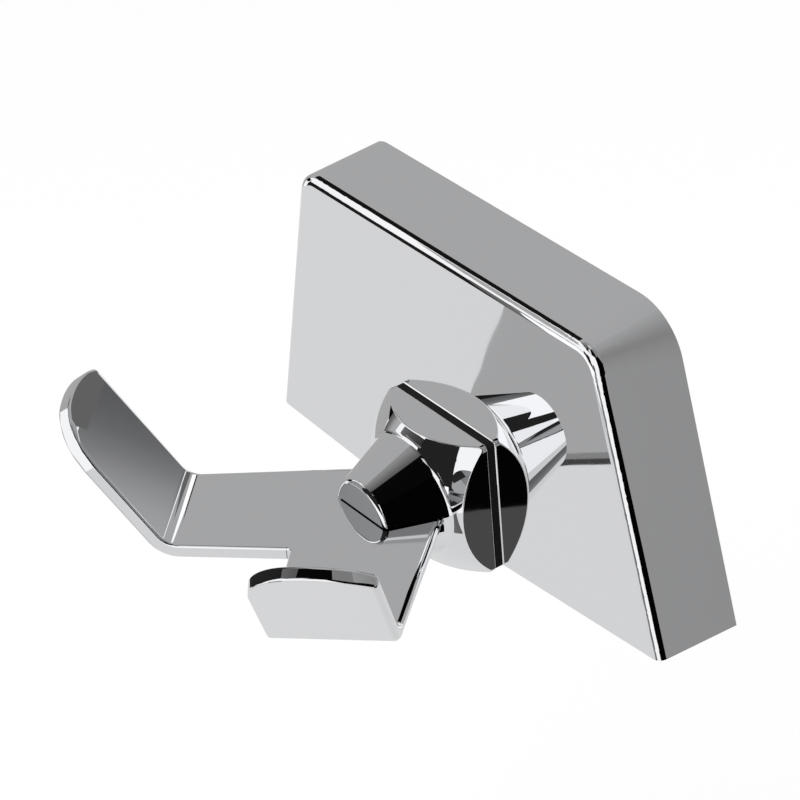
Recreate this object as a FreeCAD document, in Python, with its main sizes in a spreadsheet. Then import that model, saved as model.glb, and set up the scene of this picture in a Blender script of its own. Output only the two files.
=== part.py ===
"""Double robe hook with a trapezoid wall cover and a turned, slotted boss.

Millimetres, +Z up, front towards -Y. The origin is on the wall plane, midway between the two wall
screws and level with the boss axis. The boss axis runs along Y, to the right of the cover's middle.
"""
import FreeCAD, Part
import math
import os
import Sketcher

SIZES = {
    # wall cover
    "plate_depth": 13.4, "plate_wall": 1.5, "plate_half_top": 32.35, "plate_half_bottom": 43.3,
    "plate_top": 17.9, "plate_corner_drop": 26.4, "plate_point_drop": 29.0, "plate_flare": 0.4,
    "front_corner_r": 4.0, "back_right_corner_r": 8.5, "back_left_corner_r": 4.5,
    "inner_corner_r": 5.0, "plate_edge_r": 1.3,
    # wall bracket inside the cover
    "bracket_margin": 5.0, "bracket_drop": 20.5, "bracket_thick": 2.0, "bracket_reach": 9.0,
    "bracket_bend_r": 2.5, "wall_hole_r": 2.5, "wall_hole_spacing": 40.0,
    # grub screw under the cover and the lug it runs in
    "grub_r": 2.0, "grub_length": 6.0, "grub_y": 5.5, "grub_hex": 2.0,
    "lug_half": 4.5, "lug_top_drop": 22.5, "lug_back": 2.0, "lug_length": 7.0,
    # boss: two domed square cushions, a spacer between them and two cones
    "boss_offset": 20.4, "boss_reach": 29.1, "boss_side": 20.0, "boss_slit": 1.3,
    "dome_r": 16.6, "dome_land": 0.2, "cushion_corner_r": 0.8, "spacer_inset": 0.9,
    "cone_seat": 6.15, "cone_large_r": 8.75, "cone_small_r": 5.4, "cone_tip": 14.4,
    "cone_rim_r": 0.9, "cone_tip_edge_r": 0.6, "spigot_r": 3.5, "spigot_end": 3.0,
    # long screw along the boss axis
    "clamp_r": 2.0, "clamp_head_r": 3.5, "clamp_head_height": 4.0,
    "clamp_hex": 3.0,
    # small screw that holds the hook in the slot of the front cone
    "pin_r": 1.25, "pin_head_r": 2.25, "pin_head_height": 2.0, "pin_seat": 3.2, "pin_reach": 3.8,
    "pin_y": 11.2, "pin_hex": 2.0,
    # clearances
    "hole_clearance": 0.15, "thread_clearance": 0.03, "end_clearance": 0.2,
    # bent strip with the two hooks
    "hook_thick": 1.9, "hook_slot_back": 7.2, "hook_rear_half": 7.9, "notch_reach": 25.65,
    "arm_angle": 45.0, "arm_length": 16.2, "arm_width": 16.6, "bend_r": 3.0, "end_angle": 57.0,
    "tip_apex": 21.8, "tip_apex_share": 0.494, "tip_arc_share": 1.012, "tip_corner_share": 0.422,
    "hook_bevel": 0.5,
}


class Size:
    """A number together with the sheet expression that gives it."""

    def __init__(self, value, text):
        self.value, self.text = value, text

    @staticmethod
    def of(other):
        return other if isinstance(other, Size) else Size(float(other), repr(float(other)))

    def __add__(self, other):
        other = Size.of(other)
        return Size(self.value + other.value, "(%s + %s)" % (self.text, other.text))

    def __sub__(self, other):
        other = Size.of(other)
        return Size(self.value - other.value, "(%s - %s)" % (self.text, other.text))

    def __mul__(self, other):
        other = Size.of(other)
        return Size(self.value * other.value, "(%s * %s)" % (self.text, other.text))

    def __truediv__(self, other):
        other = Size.of(other)
        return Size(self.value / other.value, "(%s / %s)" % (self.text, other.text))

    def __radd__(self, other):
        return Size.of(other) + self

    def __rsub__(self, other):
        return Size.of(other) - self

    def __rmul__(self, other):
        return Size.of(other) * self

    def __neg__(self):
        return Size(-self.value, "(0 - %s)" % self.text)


def root(size):
    return Size(math.sqrt(size.value), "sqrt(%s)" % size.text)


def sine(angle):
    return Size(math.sin(math.radians(angle.value)), "sin(%s)" % angle.text)


def cosine(angle):
    return Size(math.cos(math.radians(angle.value)), "cos(%s)" % angle.text)


def tangent(angle):
    return Size(math.tan(math.radians(angle.value)), "tan(%s)" % angle.text)


doc = FreeCAD.newDocument("double_robe_hook")
sheet = doc.addObject("Spreadsheet::Sheet", "sizes")
for row, (name, number) in enumerate(SIZES.items(), start=1):
    sheet.set("A%d" % row, name)
    sheet.set("B%d" % row, str(number))
    sheet.setAlias("B%d" % row, name)
doc.recompute()


class Sheet:
    """The sheet's sizes by name, as Size values."""

    def __getattr__(self, name):
        return Size(float(sheet.get(name)), "sizes.%s" % name)


s = Sheet()


def bind(target, prop, size):
    """Give a property its number now and its expression for every later change."""
    target.setExpression(prop, Size.of(size).text)


def new_body(name, at=None, turn=0.0):
    """A body with its own label, standing at a point given as three sizes."""
    body = doc.addObject("PartDesign::Body", name)
    body.Label = name
    body.Placement.Rotation = FreeCAD.Rotation(FreeCAD.Vector(0, 0, 1), turn)
    for axis, size in zip("xyz", at or ()):
        bind(body, "Placement.Base.%s" % axis, size)
    return body


def new_sketch(body, name, role, lift=None):
    """A sketch on one of the body's own origin planes, lifted along its normal."""
    sketch = body.newObject("Sketcher::SketchObject", name)
    plane = next(f for f in body.Origin.OriginFeatures if f.Role == role)
    sketch.AttachmentSupport = [(plane, "")]
    sketch.MapMode = "FlatFace"
    if lift is not None:
        bind(sketch, "AttachmentOffset.Base.z", lift)
    return sketch


def pin_point(sketch, geo, pos, x=None, y=None):
    """Hold a point at signed distances from the sketch origin; None leaves a direction free."""
    for kind, axis, size in (("DistanceX", -2, x), ("DistanceY", -1, y)):
        if size is None:
            continue
        size = Size.of(size)
        if abs(size.value) < 1e-9:
            sketch.addConstraint(Sketcher.Constraint("PointOnObject", geo, pos, axis))
            continue
        ends = (-1, 1, geo, pos) if size.value > 0 else (geo, pos, -1, 1)
        size = size if size.value > 0 else -size
        index = sketch.addConstraint(Sketcher.Constraint(kind, *ends, size.value))
        bind(sketch, "Constraints[%d]" % index, size)


def draw(sketch, steps):
    """Draw a closed outline.

    Each step is the start point (x, y) of an edge and, for an arc, its centre and its turning
    sense: (x, y) or (x, y, centre_x, centre_y, anticlockwise). The end of an arc is held in one
    direction only, because the circle gives the other.
    """
    points = [(Size.of(st[0]), Size.of(st[1])) for st in steps]
    vectors = [FreeCAD.Vector(x.value, y.value, 0) for x, y in points]
    count, after_arc = len(steps), set()
    for i, step in enumerate(steps):
        start, end = vectors[i], vectors[(i + 1) % count]
        if len(step) == 2:
            sketch.addGeometry(Part.LineSegment(start, end), False)
            continue
        centre = FreeCAD.Vector(Size.of(step[2]).value, Size.of(step[3]).value, 0)
        first, last = (start, end) if step[4] else (end, start)
        circle = Part.Circle(centre, FreeCAD.Vector(0, 0, 1), (start - centre).Length)
        angles = [math.atan2(p.y - centre.y, p.x - centre.x) for p in (first, last)]
        if angles[1] <= angles[0]:
            angles[1] += 2 * math.pi
        sketch.addGeometry(Part.ArcOfCircle(circle, *angles), False)
        after_arc.add((i + 1) % count)

    def ends(i):
        return (2, 1) if len(steps[i]) == 5 and not steps[i][4] else (1, 2)

    for i in range(count):
        following = (i + 1) % count
        sketch.addConstraint(Sketcher.Constraint("Coincident", i, ends(i)[1],
                                                 following, ends(following)[0]))
    for i, step in enumerate(steps):
        x, y = points[i]
        if i in after_arc:
            before = steps[i - 1]
            across = vectors[i] - FreeCAD.Vector(Size.of(before[2]).value,
                                                 Size.of(before[3]).value, 0)
            x, y = (None, y) if abs(across.x) > abs(across.y) else (x, None)
        pin_point(sketch, i, ends(i)[0], x, y)
        if len(step) == 5:
            pin_point(sketch, i, 3, Size.of(step[2]), Size.of(step[3]))


def circle_at(sketch, x, y, radius):
    index = sketch.addGeometry(Part.Circle(FreeCAD.Vector(Size.of(x).value, Size.of(y).value, 0),
                                           FreeCAD.Vector(0, 0, 1), radius.value), False)
    pin_point(sketch, index, 3, Size.of(x), Size.of(y))
    constraint = sketch.addConstraint(Sketcher.Constraint("Radius", index, radius.value))
    bind(sketch, "Constraints[%d]" % constraint, radius)


def rectangle(sketch, left, bottom, right, top):
    draw(sketch, [(left, bottom), (right, bottom), (right, top), (left, top)])


def hexagon(sketch, x, y, across_flats):
    """A hexagon socket with two flats parallel to the sketch's horizontal axis."""
    half, corner = across_flats / 2, across_flats / math.sqrt(3)
    draw(sketch, [(x + corner, y), (x + corner / 2, y + half), (x - corner / 2, y + half),
                  (x - corner, y), (x - corner / 2, y - half), (x + corner / 2, y - half)])


def extrude(body, kind, name, sketch, length, symmetric=False, backwards=False):
    """A Pad or a Pocket; a Pocket that removes nothing is an error."""
    doc.recompute()
    before = body.Tip.Shape.Volume if body.Tip and kind == "Pocket" else None
    feature = body.newObject("PartDesign::%s" % kind, name)
    feature.Profile = sketch
    bind(feature, "Length", length)
    feature.Midplane = symmetric
    feature.Reversed = backwards
    doc.recompute()
    if before is not None and feature.Shape.Volume > before - 0.01:
        raise RuntimeError("%s cuts nothing" % name)
    return feature


def turned(body, kind, name, sketch):
    """A Revolution or a Groove about the body's Y axis; a Groove that removes nothing is an error."""
    doc.recompute()
    before = body.Tip.Shape.Volume if body.Tip and kind == "Groove" else None
    feature = body.newObject("PartDesign::%s" % kind, name)
    feature.Profile = sketch
    feature.ReferenceAxis = (sketch, ["V_Axis"])
    feature.Angle = 360.0
    doc.recompute()
    if before is not None and feature.Shape.Volume > before - 0.01:
        raise RuntimeError("%s cuts nothing" % name)
    return feature


def dress_edges(body, kind, name, base, size, chosen):
    """Round (Fillet) or bevel (Chamfer) the edges of the base feature for which the test is true."""
    doc.recompute()
    names = ["Edge%d" % (i + 1) for i, edge in enumerate(base.Shape.Edges) if chosen(edge)]
    if not names:
        raise RuntimeError("%s finds no edge" % name)
    feature = body.newObject("PartDesign::%s" % kind, name)
    feature.Base = (base, names)
    bind(feature, "Radius" if kind == "Fillet" else "Size", size)
    doc.recompute()
    return feature


def near(a, b, within=0.01):
    return abs(a - b) < within


def plate_outline(sketch, half_top, half_bottom, top, corner_drop, point_drop, right_r, left_r):
    """Trapezoid, wider at the bottom, with rounded top corners and a shallow point below."""
    lean = (half_bottom - half_top) / (top + corner_drop)
    slant = root(1 + lean * lean)

    def corner(radius):
        """Centre of a top corner's arc, and where the arc runs into the side."""
        centre_x, centre_y = half_top + lean * radius - slant * radius, top - radius
        return centre_x, centre_y, centre_x + radius / slant, centre_y + radius * lean / slant

    right_x, right_y, side_x, side_y = corner(right_r)
    left_x, left_y, far_x, far_y = corner(left_r)
    draw(sketch, [
        (-left_x, top),
        (right_x, top, right_x, right_y, False),
        (side_x, side_y),
        (half_bottom, -corner_drop),
        (0, -point_drop),
        (-half_bottom, -corner_drop),
        (-far_x, far_y, -left_x, left_y, False),
    ])


def make_wall_plate():
    """Hollow cover, open at the back, with a lug for the grub screw."""
    body = new_body("wall_plate")
    front = new_sketch(body, "cover_front", "XZ_Plane", s.plate_depth)
    plate_outline(front, s.plate_half_top, s.plate_half_bottom, s.plate_top,
                  s.plate_corner_drop, s.plate_point_drop, s.front_corner_r, s.front_corner_r)
    back = new_sketch(body, "cover_back", "XZ_Plane")
    plate_outline(back, s.plate_half_top + s.plate_flare, s.plate_half_bottom + s.plate_flare,
                  s.plate_top + s.plate_flare, s.plate_corner_drop + s.plate_flare,
                  s.plate_point_drop + s.plate_flare, s.back_right_corner_r, s.back_left_corner_r)
    doc.recompute()
    block = body.newObject("PartDesign::AdditiveLoft", "cover_block")
    block.Profile = back
    block.Sections = [front]
    block.Ruled = True
    doc.recompute()
    depth, low = s.plate_depth.value, -s.plate_corner_drop.value

    def front_edge(edge):
        ends = [v.Point for v in edge.Vertexes]
        on_front = all(near(p.y, -depth) for p in ends)
        return on_front and not all(p.z < low + 0.01 for p in ends)

    block = dress_edges(body, "Fillet", "cover_front_edge", block, s.plate_edge_r, front_edge)
    hollow = new_sketch(body, "cover_inside", "XZ_Plane", s.plate_depth - s.plate_wall)
    plate_outline(hollow, s.plate_half_top - s.plate_wall, s.plate_half_bottom - s.plate_wall * 1.4,
                  s.plate_top - s.plate_wall, s.plate_corner_drop - s.plate_wall,
                  s.plate_point_drop - s.plate_wall, s.inner_corner_r, s.inner_corner_r)
    extrude(body, "Pocket", "cover_hollow", hollow, s.plate_depth - s.plate_wall)
    lug = new_sketch(body, "lug_outline", "XZ_Plane", s.lug_back)
    rectangle(lug, -s.lug_half, -s.plate_point_drop + s.plate_wall / 2, s.lug_half, -s.lug_top_drop)
    extrude(body, "Pad", "lug", lug, s.lug_length)
    grub = new_sketch(body, "grub_circle", "XY_Plane", -s.lug_top_drop + 1)
    circle_at(grub, 0, -s.grub_y, s.grub_r + s.thread_clearance)
    extrude(body, "Pocket", "grub_bore", grub, s.plate_point_drop - s.lug_top_drop + 3)
    clamp = new_sketch(body, "clamp_circle", "XZ_Plane", s.plate_depth + 1)
    circle_at(clamp, s.boss_offset, 0, s.clamp_r + s.hole_clearance)
    extrude(body, "Pocket", "clamp_hole", clamp, s.plate_wall + 2)
    return body


def make_wall_bracket():
    """Bent channel that the wall screws hold; its upper leg carries the cover."""
    body = new_body("wall_bracket")
    top, low = s.plate_top - s.plate_wall, -s.bracket_drop
    width = s.wall_hole_spacing + s.bracket_margin * 2
    thick, reach = s.bracket_thick, s.bracket_reach
    section = new_sketch(body, "bracket_section", "YZ_Plane")
    draw(section, [(0, top), (0, low), (-reach, low), (-reach, low + thick),
                   (-thick, low + thick), (-thick, top - thick), (-reach, top - thick), (-reach, top)])
    channel = extrude(body, "Pad", "bracket_channel", section, width, symmetric=True)

    def bends(y, levels):
        def test(edge):
            points = [v.Point for v in edge.Vertexes]
            return not near(points[0].x, points[-1].x) and all(
                near(p.y, y) and any(near(p.z, level) for level in levels) for p in points)
        return test

    channel = dress_edges(body, "Fillet", "bracket_outer_bends", channel, s.bracket_bend_r,
                          bends(0, (top.value, low.value)))
    dress_edges(body, "Fillet", "bracket_inner_bends", channel, s.bracket_bend_r - thick,
                bends(-thick.value, ((top - thick).value, (low + thick).value)))
    holes = new_sketch(body, "wall_holes", "XZ_Plane", thick + 1)
    for side in (-1, 1):
        circle_at(holes, side * s.wall_hole_spacing / 2, 0, s.wall_hole_r)
    extrude(body, "Pocket", "wall_screw_holes", holes, thick + 2)
    return body


def make_grub_screw():
    """Grub screw, driven upwards from below until it bears on the bracket."""
    body = new_body("grub_screw", (Size.of(0), -s.grub_y, -s.bracket_drop - s.grub_length))
    circle = new_sketch(body, "grub_section", "XY_Plane")
    circle_at(circle, 0, 0, s.grub_r)
    shank = extrude(body, "Pad", "grub_shank", circle, s.grub_length)
    dress_edges(body, "Chamfer", "grub_ends", shank, s.grub_r * 0.2,
                lambda edge: isinstance(edge.Curve, Part.Circle))
    socket = new_sketch(body, "grub_socket_outline", "XY_Plane", s.grub_hex)
    hexagon(socket, Size.of(0), Size.of(0), s.grub_hex)
    extrude(body, "Pocket", "grub_socket", socket, s.grub_hex + 1)
    return body


def boss_body(name, faces_wall=False):
    """A body whose origin is on the boss axis, midway between the cushions, front towards -Y."""
    return new_body(name, (s.boss_offset, -s.boss_reach, Size.of(0)), 180.0 if faces_wall else 0.0)


def make_cushion(name, faces_wall):
    """Square block whose outer face is part of a sphere, cut flat where the cone seats."""
    body = boss_body(name, faces_wall)
    half, r = s.boss_side / 2, s.cushion_corner_r
    inner = half - r
    square = new_sketch(body, name + "_outline", "XZ_Plane", s.boss_slit / 2)
    draw(square, [
        (inner, -half, inner, -inner, True), (half, -inner),
        (half, inner, inner, inner, True), (inner, half),
        (-inner, half, -inner, inner, True), (-half, inner),
        (-half, -inner, -inner, -inner, True), (-inner, -half),
    ])
    extrude(body, "Pad", name + "_block", square, s.cone_seat - s.boss_slit / 2)
    # the sphere meets the square's sharp corners one land above the flat back
    centre = root(s.dome_r * s.dome_r - half * half * 2) - s.boss_slit / 2 - s.dome_land
    top_y, outer = -s.cone_seat - 1, half * 1.5
    top_x = root(s.dome_r * s.dome_r - (centre - top_y) * (centre - top_y))
    outer_y = centre - root(s.dome_r * s.dome_r - outer * outer)
    waste = new_sketch(body, name + "_dome_outline", "XY_Plane")
    draw(waste, [(top_x, top_y, 0, centre, True), (outer, outer_y), (outer + 1, outer_y),
                 (outer + 1, top_y)])
    turned(body, "Groove", name + "_dome", waste)
    bore = s.clamp_r + s.hole_clearance
    seat = s.spigot_r + s.thread_clearance
    floor = -s.spigot_end + s.end_clearance
    hole = new_sketch(body, name + "_bore_outline", "XY_Plane")
    draw(hole, [(0, top_y), (seat, top_y), (seat, floor), (bore, floor), (bore, 1), (0, 1)])
    turned(body, "Groove", name + "_bore", hole)
    return body


def cone_profile(sketch, tip, bore, end):
    """Half section of a cone with a spigot behind it, bored along the axis as far as end."""
    if end is None:
        points = [(bore, -s.spigot_end), (s.spigot_r, -s.spigot_end), (s.spigot_r, -s.cone_seat),
                  (s.cone_large_r, -s.cone_seat), (s.cone_small_r, -tip), (bore, -tip)]
    else:
        points = [(bore, -s.spigot_end), (s.spigot_r, -s.spigot_end), (s.spigot_r, -s.cone_seat),
                  (s.cone_large_r, -s.cone_seat), (s.cone_small_r, -tip), (0, -tip),
                  (0, -end), (bore, -end)]
    draw(sketch, points)


def ring_at(y, radius):
    """Test for the circle of a given radius at a given place on the axis."""
    def test(edge):
        curve = edge.Curve
        return isinstance(curve, Part.Circle) and near(curve.Radius, radius) and near(curve.Center.y, y)
    return test


def make_rear_cone():
    """Turned cone between the cover and the rear cushion, wide towards the cushion."""
    body = boss_body("rear_cone", faces_wall=True)
    section = new_sketch(body, "rear_cone_section", "XY_Plane")
    cone_profile(section, s.boss_reach - s.plate_depth, s.clamp_r + s.hole_clearance, None)
    cone = turned(body, "Revolution", "rear_cone_turned", section)
    dress_edges(body, "Fillet", "rear_cone_rim", cone, s.cone_rim_r,
                ring_at(-s.cone_seat.value, s.cone_large_r.value))
    return body


def make_front_cone():
    """Turned cone with a level slot for the hook and a bore from below for its screw."""
    body = boss_body("front_cone")
    section = new_sketch(body, "front_cone_section", "XY_Plane")
    cone_profile(section, s.cone_tip, s.clamp_r + s.thread_clearance, s.hook_slot_back)
    cone = turned(body, "Revolution", "front_cone_turned", section)
    cone = dress_edges(body, "Fillet", "front_cone_rim", cone, s.cone_rim_r,
                       ring_at(-s.cone_seat.value, s.cone_large_r.value))
    dress_edges(body, "Fillet", "front_cone_tip", cone, s.cone_tip_edge_r,
                ring_at(-s.cone_tip.value, s.cone_small_r.value))
    slot = new_sketch(body, "slot_outline", "XY_Plane")
    wide = s.cone_large_r + 1
    rectangle(slot, -wide, -s.cone_tip - 1, wide, -s.hook_slot_back)
    extrude(body, "Pocket", "slot", slot, s.hook_thick, symmetric=True)
    head = new_sketch(body, "pin_head_circle", "XY_Plane", -s.pin_seat)
    circle_at(head, 0, -s.pin_y, s.pin_head_r + s.hole_clearance)
    extrude(body, "Pocket", "pin_head_bore", head, s.cone_large_r)
    shank = new_sketch(body, "pin_shank_circle", "XY_Plane")
    circle_at(shank, 0, -s.pin_y, s.pin_r + s.hole_clearance)
    extrude(body, "Pocket", "pin_shank_bore", shank, s.pin_seat + 1)
    thread = new_sketch(body, "pin_thread_circle", "XY_Plane", s.pin_reach + s.end_clearance)
    circle_at(thread, 0, -s.pin_y, s.pin_r + s.thread_clearance)
    extrude(body, "Pocket", "pin_thread_bore", thread, s.pin_reach + s.end_clearance)
    return body


def make_washer():
    """Square rubber spacer that keeps the two cushions apart."""
    body = boss_body("spacer_washer")
    half = s.boss_side / 2 - s.spacer_inset
    square = new_sketch(body, "washer_outline", "XZ_Plane")
    rectangle(square, -half, -half, half, half)
    circle_at(square, 0, 0, s.clamp_r + s.hole_clearance)
    extrude(body, "Pad", "washer", square, s.boss_slit, symmetric=True)
    return body


def make_clamp_screw():
    """Long socket screw from inside the cover into the front cone."""
    body = boss_body("clamp_screw")
    seat = s.boss_reach - s.plate_depth + s.plate_wall
    section = new_sketch(body, "clamp_section", "XY_Plane")
    end = s.end_clearance - s.hook_slot_back
    draw(section, [(0, end), (s.clamp_r, end), (s.clamp_r, seat),
                   (s.clamp_head_r, seat), (s.clamp_head_r, seat + s.clamp_head_height),
                   (0, seat + s.clamp_head_height)])
    turned(body, "Revolution", "clamp_turned", section)
    socket = new_sketch(body, "clamp_socket_outline", "XZ_Plane", -seat - s.clamp_head_height / 2)
    hexagon(socket, Size.of(0), Size.of(0), s.clamp_hex)
    extrude(body, "Pocket", "clamp_socket", socket, s.clamp_head_height)
    return body


def make_pin_screw():
    """Small socket screw, put in from below, through the lower jaw and the hook."""
    body = new_body("hook_screw", (s.boss_offset, -s.boss_reach - s.pin_y, Size.of(0)))
    head = new_sketch(body, "pin_head_section", "XY_Plane", -s.pin_seat - s.pin_head_height)
    circle_at(head, 0, 0, s.pin_head_r)
    extrude(body, "Pad", "pin_head", head, s.pin_head_height)
    shank = new_sketch(body, "pin_shank_section", "XY_Plane", -s.pin_seat)
    circle_at(shank, 0, 0, s.pin_r)
    extrude(body, "Pad", "pin_shank", shank, s.pin_seat + s.pin_reach)
    socket = new_sketch(body, "pin_socket_outline", "XY_Plane", -s.pin_seat - s.pin_head_height * 0.4)
    hexagon(socket, Size.of(0), Size.of(0), s.pin_hex)
    extrude(body, "Pocket", "pin_socket", socket, s.pin_head_height)
    return body


def plane_on_arm(body, name, kind, support, axis, angle, base):
    """A datum plane or sketch turned by a positive angle about an axis of its support."""
    item = body.newObject(kind, name)
    item.AttachmentSupport = [(support, "")]
    item.MapMode = "FlatFace"
    item.AttachmentOffset.Rotation = FreeCAD.Rotation(FreeCAD.Vector(*axis), angle.value)
    bind(item, "AttachmentOffset.Rotation.Angle", angle)
    for letter, size in zip("xyz", base):
        bind(item, "AttachmentOffset.Base.%s" % letter, size)
    return item


def make_double_hook():
    """One bent strip: a level V with its root in the slot and an upturned end on each arm."""
    body = boss_body("double_hook")
    thick, along, across = s.hook_thick, sine(s.arm_angle), cosine(s.arm_angle)
    straight = s.arm_length - s.bend_r * tangent(s.end_angle / 2)
    inner_x, inner_y = straight * along, -s.notch_reach - straight * across
    outer_x, outer_y = inner_x + s.arm_width * across, inner_y + s.arm_width * along
    level = new_sketch(body, "hook_level", "XY_Plane")
    draw(level, [
        (-s.hook_rear_half, -s.hook_slot_back), (-outer_x, outer_y), (-inner_x, inner_y),
        (0, -s.notch_reach), (inner_x, inner_y), (outer_x, outer_y),
        (s.hook_rear_half, -s.hook_slot_back),
    ])
    extrude(body, "Pad", "hook_flat", level, thick, symmetric=True)

    # side view of one end, seen square to its bend, from the line where the bend starts
    front = next(f for f in body.Origin.OriginFeatures if f.Role == "XZ_Plane")
    side = plane_on_arm(body, "end_side", "Sketcher::SketchObject", front, (0, -1, 0),
                        90 - s.arm_angle, (inner_x, Size.of(0), -inner_y))
    inner_r, outer_r, rise = s.bend_r, s.bend_r + thick, thick / 2 + s.bend_r
    lean, climb = cosine(s.end_angle), sine(s.end_angle)
    length = s.tip_apex - s.bend_r * tangent(s.end_angle / 2) + 1
    draw(side, [
        (0, -thick / 2, 0, rise, True),
        (outer_r * climb, rise - outer_r * lean),
        (outer_r * climb + length * lean, rise - outer_r * lean + length * climb),
        (inner_r * climb + length * lean, rise - inner_r * lean + length * climb),
        (inner_r * climb, rise - inner_r * lean, 0, rise, False),
        (0, thick / 2),
    ])
    end = extrude(body, "Pad", "hook_end", side, s.arm_width, backwards=True)

    # outline of the tip, drawn in the plane of the end's inner face; x runs towards the notch side
    upright = plane_on_arm(body, "end_plane", "PartDesign::Plane", front, (0, -1, 0),
                           180 - s.arm_angle, (s.arm_length * along, thick / 2,
                                               s.notch_reach + s.arm_length * across))
    tip = plane_on_arm(body, "tip_waste", "Sketcher::SketchObject", upright, (-1, 0, 0),
                       90 - s.end_angle, (Size.of(0), Size.of(0), Size.of(0)))
    mid, big, small = (s.arm_width * share for share in
                       (s.tip_apex_share, s.tip_arc_share, s.tip_corner_share))
    low, reach = s.tip_apex - big, big - small
    rise = root(reach * reach - (mid - small) * (mid - small))
    meet_x = mid - big / reach * (mid - small)
    meet_y = low + big / reach * rise
    corner = low + root(big * big - (s.arm_width - mid) * (s.arm_width - mid))
    above = s.tip_apex + 4
    draw(tip, [
        (0, low + rise, -small, low + rise, True),
        (-meet_x, meet_y, -mid, low, True),
        (-s.arm_width, corner), (-s.arm_width - 1, corner), (-s.arm_width - 1, above),
        (1, above), (1, low + rise),
    ])
    shaped = extrude(body, "Pocket", "tip_shape", tip, thick * 4, symmetric=True)

    both = body.newObject("PartDesign::Mirrored", "second_end")
    both.Originals = [end, shaped]
    both.MirrorPlane = (next(f for f in body.Origin.OriginFeatures if f.Role == "YZ_Plane"), [""])
    body.Tip = both
    doc.recompute()
    root_line = s.hook_slot_back.value

    def outline_edge(edge):
        box = edge.BoundBox
        through = edge.Length < thick.value + 0.01
        at_root = all(near(v.Point.y, -root_line) for v in edge.Vertexes)
        crease = len(edge.Vertexes) == 2 and is_crease(both.Shape, edge)
        return not through and not at_root and not crease and box.YMax < 0

    dress_edges(body, "Chamfer", "hook_edges", both, s.hook_bevel, outline_edge)
    hole = new_sketch(body, "pin_hole_circle", "XY_Plane")
    circle_at(hole, 0, -s.pin_y, s.pin_r + s.hole_clearance)
    extrude(body, "Pocket", "pin_hole", hole, thick * 2, symmetric=True)
    return body


def is_crease(shape, edge):
    """True where the two faces beside an edge run into each other smoothly."""
    faces = shape.ancestorsOfType(edge, Part.Face)
    middle = edge.valueAt((edge.FirstParameter + edge.LastParameter) / 2)
    normals = [face.normalAt(*face.Surface.parameter(middle)) for face in faces]
    return len(normals) == 2 and abs(normals[0].dot(normals[1])) > 0.99


make_wall_plate()
make_wall_bracket()
make_grub_screw()
make_clamp_screw()
make_rear_cone()
make_cushion("rear_cushion", faces_wall=True)
make_washer()
make_cushion("front_cushion", faces_wall=False)
make_front_cone()
make_pin_screw()
make_double_hook()

doc.recompute()
for item in doc.Objects:
    if "Invalid" in item.State or "Error" in item.State:
        raise RuntimeError("%s did not recompute: %s" % (item.Name, item.State))

os.makedirs("parts", exist_ok=True)
for body in [item for item in doc.Objects if item.TypeId == "PartDesign::Body"]:
    shape = body.Shape
    if shape.isNull() or not shape.isValid() or len(shape.Solids) != 1:
        raise RuntimeError("%s is not one sound solid" % body.Label)
    shape.exportStep("parts/%s.step" % body.Label)
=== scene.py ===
import math

import bmesh
import bpy
import numpy as np
from mathutils import Matrix


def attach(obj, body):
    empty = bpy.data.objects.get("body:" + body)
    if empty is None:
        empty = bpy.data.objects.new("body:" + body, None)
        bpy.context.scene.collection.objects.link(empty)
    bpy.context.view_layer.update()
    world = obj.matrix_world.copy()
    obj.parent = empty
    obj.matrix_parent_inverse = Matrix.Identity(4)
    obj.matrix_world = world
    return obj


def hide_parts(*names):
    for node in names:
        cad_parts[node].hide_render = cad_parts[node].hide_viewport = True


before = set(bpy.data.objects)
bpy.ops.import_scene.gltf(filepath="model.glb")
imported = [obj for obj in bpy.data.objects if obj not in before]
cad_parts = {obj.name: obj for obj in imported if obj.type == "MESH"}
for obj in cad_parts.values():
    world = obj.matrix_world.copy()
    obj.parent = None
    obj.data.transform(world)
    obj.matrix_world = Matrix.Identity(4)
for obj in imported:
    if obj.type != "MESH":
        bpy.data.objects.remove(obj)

bl_info = {
    "name": "Double robe hook",
    "version": (1, 0, 0),
    "blender": (4, 5, 0),
    "location": "3D View > Sidebar > Robe hook",
    "description": "Finishes, smooth pieces and a photo stage for a chromed double robe hook",
    "category": "Object",
}

BOSS = np.array([0.0204, -0.0291, 0.0])   # middle of the boss: the slit between the two cushions

# the boss: radii, and distances from its middle along its axis
SPHERE = 0.0166                          # radius of the cushions' round faces
HALF_SLIT = 0.00065                      # half the slit between the cushions
LAND = 0.0002                            # straight part of a cushion's corner, between slit and sphere
CUSHION_CORNER = 0.0008                  # rounding of the cushions' four corners
SEAT = 0.00615                           # where the cones sit on the cushions
CONE_FOOT, CONE_TIP = 0.00875, 0.0054    # radii of both cones at the seat and at the end
CONE_HOLLOW = 0.0014                     # hollow rounding at the cones' feet
FRONT_END, REAR_END = 0.0144, 0.0157     # where the two cones end
SLOT = 0.0072                            # where the front cone's slot begins, and the strip in it

# the strip
SLOPE = math.radians(45)                 # direction of the arms, from straight ahead
NOTCH = 0.02565                          # from the boss's middle to the notch between the arms
NOTCH_ROUND = 0.0007                     # rounding in the notch
REAR_HALF = 0.0079                       # half the width of the strip's rear edge
ARM = 0.0162                             # length of an arm, from the notch to the corner of its bend
APEX = 0.0218                            # from that corner to the furthest point of the tip
MARGIN = 0.0009                          # width of the outer band, which holds the rounded edges

# the camera, measured on the photograph
CAMERA_AZIMUTH, CAMERA_ELEVATION, CAMERA_ROLL = 55.606, 33.634, -5.03     # degrees
CAMERA_DISTANCE = 3537.6                 # from the boss, in pixels of the picture
BOSS_PIXEL = np.array([448.584, 475.525])     # where the boss's middle is in the picture
PIXEL = 0.001 / 7.5933                   # metres in a pixel at the boss
PICTURE, SENSOR = 800, 36                # width of the picture in pixels, and of the sensor in mm


# ---------------------------------------------------------------- sizes and colours

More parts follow.
